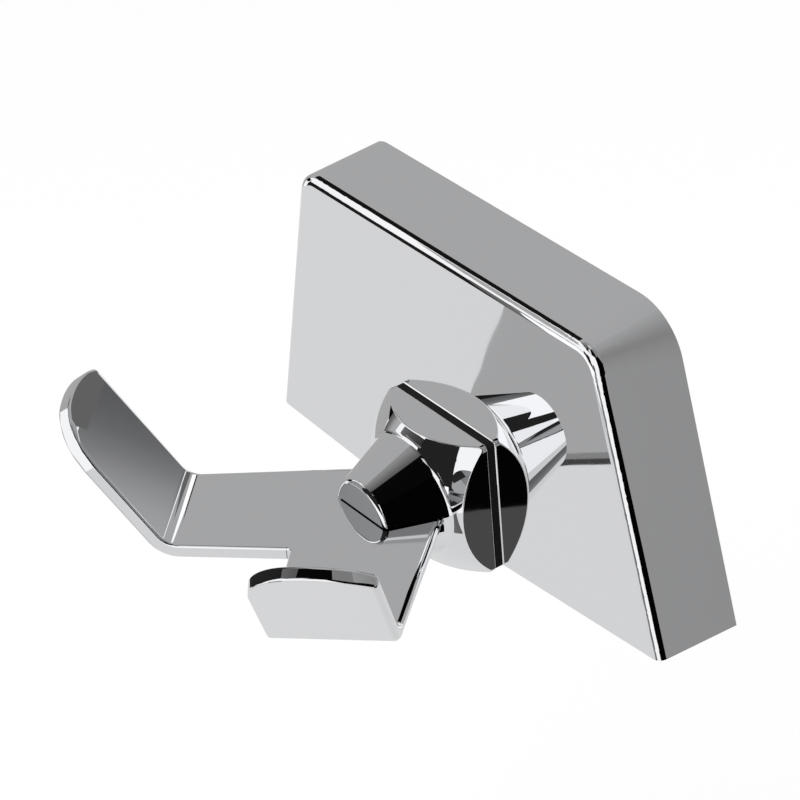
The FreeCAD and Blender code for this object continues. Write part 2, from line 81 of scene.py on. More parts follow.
class HookSizes(bpy.types.PropertyGroup):
    """Sizes of the smooth pieces. They start at the sizes of the solids that they replace."""
    strip_thickness: bpy.props.FloatProperty(
        name="Strip thickness", description="Thickness of the bent strip",
        default=0.0019, min=0.001, max=0.004, precision=4, unit="LENGTH")
    strip_width: bpy.props.FloatProperty(
        name="Arm width", description="Width of each arm at its bend",
        default=0.0166, min=0.012, max=0.022, precision=4, unit="LENGTH")
    strip_edge: bpy.props.FloatProperty(
        name="Edge rounding", description="Radius of the strip's edges at the notch and at the tips",
        default=0.00036, min=0.0001, max=0.0009, precision=5, unit="LENGTH")
    strip_outer_edge: bpy.props.FloatProperty(
        name="Outer edge rounding", description="Radius of the strip's edges on the outer sides",
        default=0.0008, min=0.0001, max=0.0009, precision=5, unit="LENGTH")
    bend_radius: bpy.props.FloatProperty(
        name="Bend radius", description="Inside radius of the bend at the foot of each upturned end",
        default=0.003, min=0.001, max=0.006, precision=4, unit="LENGTH")
    end_angle: bpy.props.FloatProperty(
        name="End angle", description="Angle by which each end is turned up",
        default=math.radians(57), min=math.radians(30), max=math.radians(80), subtype="ANGLE")
    cushion_side: bpy.props.FloatProperty(
        name="Cushion side", description="Side of the two square cushions",
        default=0.020, min=0.015, max=0.026, precision=4, unit="LENGTH")
    cushion_edge: bpy.props.FloatProperty(
        name="Cushion edge", description="Rounding of the polished edges of the cushions",
        default=0.0003, min=0.0001, max=0.0006, precision=5, unit="LENGTH")


class HookFinish(bpy.types.PropertyGroup):
    """Colours and polish."""
    chrome: bpy.props.FloatVectorProperty(
        name="Chrome", description="Colour of the bright plating",
        default=(0.90, 0.905, 0.92), min=0, max=1, size=3, subtype="COLOR")
    chrome_polish: bpy.props.FloatProperty(
        name="Chrome roughness", description="Roughness of the bright plating where it is clean",
        default=0.008, min=0, max=0.4, subtype="FACTOR")
    steel: bpy.props.FloatVectorProperty(
        name="Steel", description="Colour of the zinc-plated bracket and screws",
        default=(0.58, 0.58, 0.57), min=0, max=1, size=3, subtype="COLOR")
    floor: bpy.props.FloatVectorProperty(
        name="Floor", description="Colour of the floor and backdrop",
        default=(1.0, 1.0, 1.0), min=0, max=1, size=3, subtype="COLOR")


# ---------------------------------------------------------------- meshes

def grid_faces(rows, columns, closed=False):
    """Quads between neighbouring points of a grid, row by row. Closed also joins the last column to
    the first."""
    wide = columns if closed else columns - 1
    i, j = np.meshgrid(np.arange(rows - 1), np.arange(wide), indexing="ij")
    k = (j + 1) % columns
    quads = [i * columns + j, i * columns + k, (i + 1) * columns + k, (i + 1) * columns + j]
    return np.stack(quads, -1).reshape(-1, 4)


def corner_normals(mesh):
    """Normals of a mesh's face corners. Each is the sum of the normals of the faces around its point,
    weighted by area and by the corner's angle, so that flat faces stay flat right up to their rounded
    edges. Faces beyond an edge that turns by more than 40 degrees don't count."""

    def read(kind, key, width=1, form=float):
        out = np.empty(len(kind) * width, form)
        kind.foreach_get(key, out)
        return out.reshape(-1, width) if width > 1 else out

    facing, sides = read(mesh.polygons, "normal", 3), read(mesh.polygons, "loop_total", 1, np.int32)
    edge = read(mesh.loops, "edge_index", 1, np.int32)
    face = np.repeat(np.arange(len(sides)), sides)
    order = np.argsort(edge, kind="stable")
    pair = np.flatnonzero(edge[order][1:] == edge[order][:-1])
    here, there = order[pair], order[pair + 1]
    hard = edge[here[(facing[face[here]] * facing[face[there]]).sum(1) < math.cos(math.radians(40))]]
    shell = bmesh.new()
    shell.from_mesh(mesh)
    shell.edges.ensure_lookup_table()
    bmesh.ops.split_edges(shell, edges=[shell.edges[index] for index in hard])
    split = bpy.data.meshes.new("split")
    shell.to_mesh(split)
    shell.free()
    corner, area = read(split.loops, "vertex_index", 1, np.int32), read(split.polygons, "area")
    place, count = read(split.vertices, "co", 3), np.arange(len(face))
    first = np.repeat(np.cumsum(sides) - sides, sides)
    size = np.repeat(sides, sides)
    ahead = place[corner[first + (count - first + 1) % size]] - place[corner]
    behind = place[corner[first + (count - first - 1) % size]] - place[corner]
    length = np.linalg.norm(ahead, axis=1) * np.linalg.norm(behind, axis=1)
    angle = np.arccos(np.clip((ahead * behind).sum(1) / np.maximum(length, 1e-20), -1, 1))
    normal = np.zeros((len(place), 3))
    np.add.at(normal, corner, facing[face] * (area[face] * angle)[:, None])
    normal /= np.maximum(np.linalg.norm(normal, axis=1, keepdims=True), 1e-15)
    bpy.data.meshes.remove(split)
    return normal[corner]


def node_surface(name):
    """Points and triangles of a solid's own mesh."""
    mesh = bpy.data.objects[name].data
    points, faces = np.empty(len(mesh.vertices) * 3), np.empty(len(mesh.loops), np.int32)
    mesh.vertices.foreach_get("co", points)
    mesh.loops.foreach_get("vertex_index", faces)
    return points.reshape(-1, 3), faces.reshape(-1, 3)


def new_piece(name, parts, material, node):
    """A closed piece from (points, faces) parts. Points at the same place are merged and faces turned
    outwards."""
    sizes = [len(points.reshape(-1, 3)) for points, _ in parts]
    starts = np.cumsum([0] + sizes[:-1])
    points = np.concatenate([p.reshape(-1, 3) for p, _ in parts])
    faces = np.concatenate([f + start for (_, f), start in zip(parts, starts)])
    mesh = bpy.data.meshes.new(name)
    mesh.from_pydata(points, [], faces)
    shell = bmesh.new()
    shell.from_mesh(mesh)
    bmesh.ops.remove_doubles(shell, verts=shell.verts, dist=2e-6)
    bmesh.ops.recalc_face_normals(shell, faces=shell.faces)
    shell.to_mesh(mesh)
    shell.free()
    mesh.polygons.foreach_set("use_smooth", np.ones(len(mesh.polygons), bool))
    mesh.normals_split_custom_set(corner_normals(mesh))
    mesh.materials.append(material)
    piece = bpy.data.objects.new(name, mesh)
    bpy.context.scene.collection.objects.link(piece)
    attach(piece, "root")
    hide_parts(node)
    return piece


# ---------------------------------------------------------------- the bent strip

def bent(along, across, height, start, turn, radius, thick):
    """Bends a flat strip upwards. Up to start it stays level. Over the next arc it runs round a circle
    whose radius at the middle of the strip is radius + thick / 2, through the angle turn. Then it runs
    on straight."""
    middle = radius + thick / 2
    past = np.maximum(along - start, 0)
    angle = np.minimum(past / middle, turn)
    rest = past - angle * middle
    out = np.minimum(along, start) + (middle - height) * np.sin(angle) + rest * np.cos(turn)
    up = middle - (middle - height) * np.cos(angle) + rest * np.sin(turn)
    return out, across, up


def tip_outline(width, count):
    """Tip of one end as (across, along, direction of the edge) in the plane of the end: a corner arc
    at the notch side runs smoothly into a big arc, which ends at the outer side. A point of either arc
    is its centre plus its radius, less the margin, in the edge's direction."""
    middle, big, small = 0.494 * width, 1.012 * width, 0.422 * width     # big arc's centre, both radii
    low, reach = APEX - big, big - small
    rise = math.sqrt(reach * reach - (middle - small) ** 2)
    join = math.atan2(rise, small - middle)
    last = math.acos((width - MARGIN - middle) / (big - MARGIN))
    first, second = np.linspace(math.pi, join, count), np.linspace(join, last, count)[1:]
    across = np.append(small + (small - MARGIN) * np.cos(first),
                       middle + (big - MARGIN) * np.cos(second))
    along = np.append(low + rise + (small - MARGIN) * np.sin(first),
                      low + (big - MARGIN) * np.sin(second))
    return across, along, np.append(first, second)


def directions_between(a, b, steps):
    """Directions on the way from a to b, both left out: equal steps along the chord, each made one
    long."""
    way = a + (b - a) * np.linspace(0, 1, steps + 2)[1:-1, None]
    return way / np.linalg.norm(way, axis=1, keepdims=True)


def bent_strip(sizes):
    """Points and quads of the right half of the strip and of its mirror image.

    The half is a grid. Its rows run across the arm from the notch side to the outer side, and its
    columns run from the middle of the strip to the tip. The first rows fan round the root of the
    notch. The edge is a band carried round the grid's outline: flat on top, round a quarter circle,
    flat down the side and round another quarter circle. A point of a quarter circle is its centre
    plus the local radius times the sine of an angle outwards and its cosine upwards."""
    thick, width = sizes.strip_thickness, sizes.strip_width
    turn, bend = sizes.end_angle, sizes.bend_radius
    wide = 41           # points across the arm
    rear_row = 9        # the row that ends at the rear corner, half way through the fan
    steps = 5           # directions added where the outline turns a corner
    ahead = np.array([math.sin(SLOPE), -math.cos(SLOPE)])
    aside = np.array([math.cos(SLOPE), math.sin(SLOPE)])
    start = np.array([0, -NOTCH])
    shoulder = ARM - bend * math.tan(turn / 2)
    foot = shoulder + turn * (bend + thick / 2)

    def arm_frame(xy):
        return np.stack([(xy - start) @ ahead, (xy - start) @ aside], -1)

    # outer side, from the rear corner to the shoulder
    rear = arm_frame(np.array([REAR_HALF, -SLOT]))
    taper = (rear[1] - width) / (shoulder - rear[0])
    tilt = math.atan(taper)
    outward = np.array([math.sin(tilt), math.cos(tilt)])
    back = np.array([-math.cos(SLOPE), math.sin(SLOPE)])

    def outer(along):
        return width + (shoulder - along) * taper - MARGIN / math.cos(tilt)

    # rows of the fan: round the notch inside, along the rear edge and the outer side outside
    swing = np.linspace(0, math.pi / 2 - SLOPE, 2 * rear_row + 1)
    facing = np.stack([-np.sin(swing), -np.cos(swing)], -1)
    centre = np.array([0, -NOTCH - NOTCH_ROUND / math.sin(SLOPE)])
    fan_in = arm_frame(centre - (NOTCH_ROUND + MARGIN) * facing)
    middle = arm_frame(np.array([0.0, -SLOT - MARGIN]))
    corner = np.linalg.solve(np.array([outward, back]),     # where the two inset sides meet
                             np.array([outward @ (rear - outward * MARGIN), back @ middle]))
    first = NOTCH_ROUND / math.tan(SLOPE)
    share = np.linspace(0, 1, rear_row + 1)[:, None]
    fan_out = np.concatenate([middle + (corner - middle) * share,
                              corner + (np.array([first, outer(first)]) - corner) * share[1:]])

    # rows of the arm and of the bend, then of the end, whose last row is the tip
    arm = np.linspace(first, shoulder, 16)[1:]
    curve = np.linspace(shoulder, foot, 25)[1:]
    inner = np.concatenate([fan_in, np.stack([arm, np.full(len(arm), MARGIN)], -1),
                            np.stack([curve, np.full(len(curve), MARGIN)], -1)])
    outside = np.concatenate([fan_out, np.stack([arm, outer(arm)], -1),
                              np.stack([curve, np.full(len(curve), width - MARGIN)], -1)])
    columns = np.linspace(0, 1, wide)
    body = inner[:, None] + (outside - inner)[:, None] * columns[:, None]
    tip_across, tip_along, tip_angle = tip_outline(width, 60)
    across = MARGIN + (width - 2 * MARGIN) * columns
    reach = np.interp(across, tip_across, tip_along) - bend * math.tan(turn / 2)
    climb = np.linspace(0, 1, 21)[1:, None]
    end = np.stack([foot + climb * reach, np.broadcast_to(across, (len(climb), wide))], -1)
    grid = np.concatenate([body, end])

    # outline of the grid with the outward direction at each point
    rows, fan = len(grid), len(fan_in)
    side_in = np.tile([0.0, -1.0], (rows, 1))
    side_in[:fan] = np.stack([facing @ ahead, facing @ aside], -1)
    angle = np.interp(across, tip_across, tip_angle)
    round_tip = np.stack([np.sin(angle), np.cos(angle)], -1)
    side_out = np.tile([0.0, 1.0], (rows, 1))
    side_out[:fan + len(arm)] = outward
    side_out[:rear_row + 1] = back
    outline = np.concatenate([grid[:, 0], grid[-1], np.repeat(grid[-1:, -1], steps, axis=0),
                              grid[:rear_row - 1:-1, -1],
                              np.repeat(grid[rear_row:rear_row + 1, -1], steps, axis=0),
                              grid[rear_row::-1, -1]])
    facing_out = np.concatenate([side_in, round_tip,
                                 directions_between(round_tip[-1], side_out[-1], steps),
                                 side_out[:rear_row:-1], outward[None],
                                 directions_between(outward, back, steps), side_out[rear_row::-1]])

    # the band: over the last of the tip, the rounding grows from the tips' radius to the outer sides'
    tip_end = rows + wide
    rounding = np.interp(np.arange(len(outline)), [tip_end - 6, tip_end + steps - 1],
                         [sizes.strip_edge, sizes.strip_outer_edge])
    lift = np.linspace(0, math.pi / 2, 9)[:, None]
    quarter_out = MARGIN - rounding + rounding * np.sin(lift)
    quarter_up = thick / 2 - rounding + rounding * np.cos(lift)
    nothing = np.zeros((1, len(outline)))
    outwards = np.concatenate([nothing, quarter_out, quarter_out[::-1], nothing])
    height = np.concatenate([nothing + thick / 2, quarter_up, -quarter_up[::-1], nothing - thick / 2])
    band = outline[None] + outwards[..., None] * facing_out[None]

    def placed(flat_points, level_height):
        out, side, up = bent(flat_points[..., 0], flat_points[..., 1], level_height,
                             shoulder, turn, bend, thick)
        xy = start + out[..., None] * ahead + side[..., None] * aside
        return np.concatenate([xy, np.broadcast_to(up, out.shape)[..., None]], -1)

    shapes = [(placed(grid, thick / 2), grid_faces(*grid.shape[:2])),
              (placed(grid, -thick / 2), grid_faces(*grid.shape[:2])),
              (placed(band, height), grid_faces(*band.shape[:2]))]
    mirror = np.array([-1, 1, 1])
    return [(points * flip + BOSS, quads) for flip in (1, mirror) for points, quads in shapes]


# ---------------------------------------------------------------- the boss

def sphere_place(sizes):
    """How far behind the boss's middle the centre of a cushion's sphere lies: the sphere meets the
    cushion's corners at the land."""
    return math.sqrt(SPHERE ** 2 - sizes.cushion_side ** 2 / 2) - HALF_SLIT - LAND


def along_axis(flat, place):
    """Points of the boss from (right, up) pairs and their places along its axis."""
    return np.stack([flat[..., 0], np.broadcast_to(place, flat.shape[:-1]), flat[..., 1]], -1)


def turned_piece(profile, steps=192):
    """Carries a profile of (radius, place along the boss axis) round the axis: each of its points
    becomes a circle with that radius at that place."""
    angle = np.linspace(0, 2 * math.pi, steps, endpoint=False)
    circle = np.stack([np.cos(angle), np.sin(angle)], -1)
    points = along_axis(profile[:, 0, None, None] * circle, profile[:, 1, None])
    return points + BOSS, grid_faces(len(profile), steps, closed=True)


def rounded_profile(corners, radii, steps=8):
    """A profile through the given corners, each rounded with its own radius: an arc from where it
    touches one side to where it touches the next, about the point at the radius's distance from both."""
    parts = []
    for before, here, after, radius in zip([None, *corners[:-1]], corners, [*corners[1:], None], radii):
        if not radius:
            parts.append(np.array([here], float))
            continue
        here = np.array(here, float)
        a, b = np.subtract(before, here), np.subtract(after, here)
        a, b = a / np.linalg.norm(a), b / np.linalg.norm(b)
        half = math.acos(a @ b) / 2
        middle = here + (a + b) / np.linalg.norm(a + b) * radius / math.sin(half)
        p, q = here + a * radius / math.tan(half) - middle, here + b * radius / math.tan(half) - middle
        share = np.linspace(0, 1, steps)[:, None] * (math.pi - 2 * half)
        parts.append(middle + (p * np.sin(math.pi - 2 * half - share) + q * np.sin(share))
                     / math.sin(math.pi - 2 * half))
    return np.concatenate(parts)


def cone_profile(sizes, tip, tip_edge):
    """Half-section of a cone from its foot on the cushion to its flat end.

    A hollow rounding leads from the cushion's sphere into the flank: its centre lies at its radius
    outside both, which gives a quadratic equation for its place along the flank."""
    large, small = np.array([CONE_FOOT, -SEAT]), np.array([CONE_TIP, -tip])
    along = (small - large) / np.linalg.norm(small - large)
    out = np.array([-along[1], along[0]])
    middle = np.array([0, sphere_place(sizes)])
    start = large + CONE_HOLLOW * out - middle
    half, rest = start @ along, start @ start - (SPHERE + CONE_HOLLOW) ** 2
    centre = middle + start + (math.sqrt(half ** 2 - rest) - half) * along
    turn = np.linspace(math.atan2(*(middle - centre)[::-1]), math.atan2(-out[1], -out[0]), 15)
    arc = centre + CONE_HOLLOW * np.stack([np.cos(turn), np.sin(turn)], 1)
    end = rounded_profile([arc[-1], small, (0, -tip)], [0, tip_edge, 0], steps=12)
    inside_cushion = [0, 0.00015 - SEAT]
    return np.concatenate([[inside_cushion], arc, end[1:]])


def slotted_cone(sizes):
    """Surface of the front cone as a foot and two jaws.

    The foot is the cone's profile turned round the axis. A jaw is the part of the cone above a level
    plane just over the strip: each ring of it is an arc between the two places where the ring meets
    the plane. Its flat end and its flat back shrink the arc towards the middle of its chord, and its
    underside joins the two chord ends of each ring. The other jaw is its mirror image."""
    profile, gap = cone_profile(sizes, FRONT_END, 0.0008), 0.00022
    level = sizes.strip_thickness / 2 + gap
    share = (SLOT - SEAT) / (FRONT_END - SEAT)
    edge = np.array([CONE_FOOT + (CONE_TIP - CONE_FOOT) * share, -SLOT])
    foot = np.concatenate([profile[profile[:, 1] > -SLOT], edge[None], [[0, -SLOT]]])
    ends = profile[(profile[:, 1] <= -SLOT) & (profile[:, 0] > 0)]
    fill = np.linspace(0, 1, 9)
    rings = np.concatenate([edge + (ends[0] - edge) * fill[:-1, None], ends])
    radius, place = rings[:, :1], rings[:, 1:]
    low = np.arcsin(level / radius)
    swing = low + (math.pi - 2 * low) * np.linspace(0, 1, 129)
    skin = along_axis(radius[..., None] * np.stack([np.cos(swing), np.sin(swing)], -1), place)

    def shrunk(arc):
        middle = np.array([0, arc[0, 1], level])
        return middle + (arc - middle) * (1 - fill[:, None, None])

    across = skin[:, :1, 0] * np.linspace(1, -1, 2 * len(fill) - 1)
    under = along_axis(np.stack([across, np.full_like(across, level)], -1), place)
    jaw = [(part, grid_faces(*part.shape[:2])) for part in
           (skin, shrunk(skin[0]), shrunk(skin[-1]), under)]
    flip = np.array([1, 1, -1])
    return ([turned_piece(foot)] + [(part + BOSS, quads) for part, quads in jaw]
            + [(part * flip + BOSS, quads) for part, quads in jaw])


def square_outline(half, corner, steps):
    """Outline of a square with rounded corners, and the outward direction at each point: a straight
    side and the quarter circle after it, turned to each of the four quarters."""
    straight = 40
    turn = np.linspace(0, math.pi / 2, steps)
    out = np.stack([np.cos(turn), np.sin(turn)], -1)
    side = np.linspace(-1, 1, straight + 2)[1:-1] * (half - corner)
    points = np.concatenate([np.stack([np.full(straight, half), side], -1),
                             half - corner + corner * out])
    facing = np.concatenate([np.tile([1.0, 0.0], (straight, 1)), out])
    quarters = [np.array([[math.cos(a), math.sin(a)], [-math.sin(a), math.cos(a)]])
                for a in (0, math.pi / 2, math.pi, 3 * math.pi / 2)]
    return (np.concatenate([points @ quarter for quarter in quarters]),
            np.concatenate([facing @ quarter for quarter in quarters]))


def cushion(sizes, flip):
    """Surface of a square cushion whose front is part of a sphere.

    The edge between the sphere and the straight sides is a rolling ball of small radius: its centre
    lies at that radius inside both, and it is seen from the direction of the side to the direction
    away from the sphere's centre. From there the surface runs along the sphere to the round seat of
    the cone, and on the other side down to the flat back."""
    edge, centre = sizes.cushion_edge, sphere_place(sizes)
    outline, facing = square_outline(sizes.cushion_side / 2, CUSHION_CORNER, 9)
    core = outline - edge * facing
    ball = along_axis(core, centre - np.sqrt((SPHERE - edge) ** 2 - (core ** 2).sum(1)))
    side = along_axis(facing, 0)
    away = ball - [0, centre, 0]
    away /= np.linalg.norm(away, axis=1, keepdims=True)
    way = side + (away - side) * np.linspace(0, 1, 7)[:, None, None]
    way /= np.linalg.norm(way, axis=2, keepdims=True)
    rim = ball + edge * way

    # along the sphere to the seat, and in to a small ring under the cone
    flat = rim[-1][:, [0, 2]]
    far = np.linalg.norm(flat, axis=1, keepdims=True)
    seat = math.sqrt(SPHERE ** 2 - (centre + SEAT) ** 2)
    radius = far + (seat - far) * np.linspace(0, 1, 26)[1:, None, None]
    dome = along_axis(flat / far * radius, centre - np.sqrt(SPHERE ** 2 - radius[..., 0] ** 2))
    ring = 0.003
    cap = along_axis(flat / far * ring, -SEAT)[None]

    # down the side, over a small rounding, to the flat back and in to a smaller outline
    small, low, inner = 0.00012, np.linspace(0, math.pi / 2, 5)[:, None], 0.3
    hem = along_axis(outline + small * (np.cos(low[..., None]) - 1) * facing,
                     -HALF_SLIT - small + small * np.sin(low))
    back = along_axis(outline * inner, -HALF_SLIT)[None]

    # both ends close in the middle of their last ring
    points = np.concatenate([back, hem[::-1], rim, dome, cap])
    closing = (1, len(core), 3)
    points = np.concatenate([np.broadcast_to(points[0].mean(0), closing), points,
                             np.broadcast_to(points[-1].mean(0), closing)])
    return points * np.array([1, flip, 1]) + BOSS, grid_faces(len(points), len(core), closed=True)


def spacer_block(half):
    """Square block that fills the slit between the cushions: rings of a square with small corners,
    closed at both ends by its middle."""
    outline, _ = square_outline(half, 0.0004, 5)
    points = np.stack([along_axis(outline * size, place) for size, place in
                       ((0, -HALF_SLIT), (1, -HALF_SLIT), (1, HALF_SLIT), (0, HALF_SLIT))])
    return points + BOSS, grid_faces(len(points), len(outline), closed=True)


# ---------------------------------------------------------------- finishes

def add_node(tree, kind, inputs=(), **settings):
    """Adds a node, sets its settings and its inputs' values or links, and returns it."""
    made = tree.nodes.new(kind)
    for key, value in settings.items():
        setattr(made, key, value)
    for key, value in dict(inputs).items():
        if isinstance(value, bpy.types.NodeSocket):
            tree.links.new(value, made.inputs[key])
        else:
            made.inputs[key].default_value = value
    return made


def effect_group(name, inputs, outputs):
    """A new shader node group with the given sockets, and its input and output nodes. Inputs are
    (name, kind, default), outputs are (name, kind)."""
    group = bpy.data.node_groups.new(name, "ShaderNodeTree")
    for socket, kind, default in inputs:
        group.interface.new_socket(socket, in_out="INPUT",
                                   socket_type="NodeSocket" + kind).default_value = default
    for socket, kind in outputs:
        group.interface.new_socket(socket, in_out="OUTPUT", socket_type="NodeSocket" + kind)
    return group, group.nodes.new("NodeGroupInput"), group.nodes.new("NodeGroupOutput")


def handling_marks():
    """Faint wipe marks and specks: a mask of where the polish is a little duller, and a height."""
    if "handling_marks" in bpy.data.node_groups:
        return bpy.data.node_groups["handling_marks"]
    group, given, result = effect_group(
        "handling_marks",
        [("Scale", "Float", 90), ("Clean", "Float", 0.03), ("Dull", "Float", 0.06)],
        [("Roughness", "Float"), ("Height", "Float")])
    place = add_node(group, "ShaderNodeTexCoord")
    cloud = add_node(group, "ShaderNodeTexNoise", {
        "Vector": place.outputs["Object"], "Scale": given.outputs["Scale"],
        "Detail": 4.0, "Roughness": 0.6})
    haze = add_node(group, "ShaderNodeMapRange", {
        "Value": cloud.outputs["Fac"], "From Min": 0.45, "From Max": 0.72,
        "To Min": given.outputs["Clean"], "To Max": given.outputs["Dull"]})
    wave = add_node(group, "ShaderNodeTexNoise", {
        "Vector": place.outputs["Object"], "Scale": 55.0, "Detail": 1.0})
    group.links.new(haze.outputs["Result"], result.inputs["Roughness"])
    group.links.new(wave.outputs["Fac"], result.inputs["Height"])
    return group


def mottled_tone():
    """A tone that wanders between two colours with a fine noise."""
    if "mottled_tone" in bpy.data.node_groups:
        return bpy.data.node_groups["mottled_tone"]
    group, given, result = effect_group(
        "mottled_tone",
        [("Scale", "Float", 600), ("Dark", "Color", (0.2, 0.2, 0.2, 1)),
         ("Light", "Color", (0.4, 0.4, 0.4, 1))],
        [("Tone", "Color")])
    place = add_node(group, "ShaderNodeTexCoord")
    mottle = add_node(group, "ShaderNodeTexNoise", {
        "Vector": place.outputs["Object"], "Scale": given.outputs["Scale"], "Detail": 3.0})
    tone = add_node(group, "ShaderNodeMix", data_type="RGBA")
    group.links.new(mottle.outputs["Fac"], tone.inputs[0])
    group.links.new(given.outputs["Dark"], tone.inputs[6])
    group.links.new(given.outputs["Light"], tone.inputs[7])
    group.links.new(tone.outputs[2], result.inputs["Tone"])
    return group


def new_material(name):
    """Empties the material of that name, or makes it, and joins a Principled shader to its output.
    Returns its node tree and the shader."""
    material = bpy.data.materials.get(name) or bpy.data.materials.new(name)
    material.use_nodes = True
    tree = material.node_tree
    tree.nodes.clear()
    output = add_node(tree, "ShaderNodeOutputMaterial")
    shader = add_node(tree, "ShaderNodeBsdfPrincipled")
    tree.links.new(shader.outputs["BSDF"], output.inputs["Surface"])
    return tree, shader


def polished_chrome(finish):
    """Bright plating: a mirror with a faint haze here and there and a very slight waviness."""
    tree, shader = new_material("polished_chrome")
    marks = add_node(tree, "ShaderNodeGroup", {
        "Scale": 70, "Clean": finish.chrome_polish, "Dull": finish.chrome_polish + 0.012},
        node_tree=handling_marks())
    ripple = add_node(tree, "ShaderNodeBump", {
        "Height": marks.outputs["Height"], "Strength": 0.06, "Distance": 0.0002})
    shader.inputs["Base Color"].default_value = (*finish.chrome, 1)
    shader.inputs["Metallic"].default_value = 1
    tree.links.new(marks.outputs["Roughness"], shader.inputs["Roughness"])
    tree.links.new(ripple.outputs["Normal"], shader.inputs["Normal"])


def plain_steel(finish):
    """Zinc-plated steel: grey, satin, with a mottled tone."""
    tree, shader = new_material("plain_steel")
    marks = add_node(tree, "ShaderNodeGroup", {"Scale": 260, "Clean": 0.28, "Dull": 0.45},
                     node_tree=handling_marks())
    tone = add_node(tree, "ShaderNodeGroup", {
        "Scale": 600, "Dark": (*(c * 0.86 for c in finish.steel), 1),
        "Light": (*(min(c * 1.12, 1) for c in finish.steel), 1)},
        node_tree=mottled_tone())
    shader.inputs["Metallic"].default_value = 1
    tree.links.new(tone.outputs["Tone"], shader.inputs["Base Color"])
    tree.links.new(marks.outputs["Roughness"], shader.inputs["Roughness"])


def black_rubber():
    """Matt black rubber with a slightly uneven tone."""
    tree, shader = new_material("black_rubber")
    tone = add_node(tree, "ShaderNodeGroup", {
        "Scale": 900, "Dark": (0.003, 0.003, 0.003, 1), "Light": (0.008, 0.008, 0.009, 1)},
        node_tree=mottled_tone())
    shader.inputs["Roughness"].default_value = 0.8
    shader.inputs["Specular IOR Level"].default_value = 0.2
    tree.links.new(tone.outputs["Tone"], shader.inputs["Base Color"])


class HOOK_OT_finishes(bpy.types.Operator):
    """Give the cover, the boss and the screws their finishes"""
    bl_idname = "hook.finishes"
    bl_label = "Finishes"

    def execute(self, context):
        finish = context.scene.hook_finish
        polished_chrome(finish)
        plain_steel(finish)
        black_rubber()
        return {"FINISHED"}


class HOOK_OT_strip(bpy.types.Operator):
    """Make the bent strip with its rounded edges"""
    bl_idname = "hook.strip"
    bl_label = "Bent strip"

    def execute(self, context):
        new_piece("bent_strip", bent_strip(context.scene.hook_sizes),
                  bpy.data.materials["polished_chrome"], "double_hook")
        return {"FINISHED"}


class HOOK_OT_cushions(bpy.types.Operator):
    """Make the two domed square cushions of the boss"""
    bl_idname = "hook.cushions"
    bl_label = "Cushions"

    def execute(self, context):
        sizes, chrome = context.scene.hook_sizes, bpy.data.materials["polished_chrome"]
        new_piece("cushion_front", [cushion(sizes, 1)], chrome, "front_cushion")
        new_piece("cushion_rear", [cushion(sizes, -1)], chrome, "rear_cushion")
        return {"FINISHED"}


class HOOK_OT_cones(bpy.types.Operator):
    """Make the slotted front cone and the rear cone"""
    bl_idname = "hook.cones"
    bl_label = "Cones"

    def execute(self, context):
        sizes, chrome = context.scene.hook_sizes, bpy.data.materials["polished_chrome"]
        new_piece("cone_front", slotted_cone(sizes), chrome, "front_cone")
        profile = cone_profile(sizes, REAR_END, 0.00005)
        new_piece("cone_rear", [turned_piece(profile * [1, -1])], chrome, "rear_cone")
        return {"FINISHED"}


class HOOK_OT_spacer(bpy.types.Operator):
    """Make the rubber spacer that fills the slit between the cushions"""
    bl_idname = "hook.spacer"
    bl_label = "Spacer"

    def execute(self, context):
        spacer = spacer_block(context.scene.hook_sizes.cushion_side / 2 - 0.0002)
        new_piece("spacer", [spacer], bpy.data.materials["black_rubber"], "spacer_washer")
        return {"FINISHED"}


class HOOK_OT_clamp_screw(bpy.types.Operator):
    """Make the clamp screw that runs along the boss"""
    bl_idname = "hook.clamp_screw"
    bl_label = "Clamp screw"

    def execute(self, context):
        new_piece("clamp_rod", [node_surface("clamp_screw")], bpy.data.materials["plain_steel"],
                  "clamp_screw")
        return {"FINISHED"}


# ---------------------------------------------------------------- stage

CARD_DISTANCE = 20      # metres from the boss to the far cards
METAL_SHARE = 0.9       # share of the light that the polished metal gives back


def stage_plane(name, centre, across, along, material):
    """A rectangle about a centre, from half its two sides."""
    centre, u, v = (np.array(x, float) for x in (centre, across, along))
    corners = [centre - u - v, centre + u - v, centre + u + v, centre - u + v]
    mesh = bpy.data.meshes.new(name)
    mesh.from_pydata(corners, [], [(0, 1, 2, 3)])
    mesh.materials.append(material)
    made = bpy.data.objects.new(name, mesh)
    bpy.context.scene.collection.objects.link(made)
    return made


def away_from_boss(azimuth, elevation):
    """Direction or directions away from the boss, from degrees: azimuth 0 is in front of the wall and
    90 to its right. It is (sine, minus cosine) of the azimuth, level by the cosine of the elevation
    and up by its sine."""
    a, e = np.radians(azimuth), np.radians(elevation)
    return np.stack([np.sin(a) * np.cos(e), -np.cos(a) * np.cos(e), np.sin(e)], -1)


def facing_boss(azimuth, elevation):
    """Right, up and backward directions of a lamp or camera that faces the boss from there."""
    back, a = away_from_boss(azimuth, elevation), math.radians(azimuth)
    right = np.array([math.cos(a), math.sin(a), 0])
    return right, np.cross(back, right), back


def placing(right, up, back, place):
    """Matrix that puts an object at a place and turns it to those three directions."""
    return Matrix([[*row, p] for row, p in zip(np.stack([right, up, back], 1), place)]
                  + [[0, 0, 0, 1]])


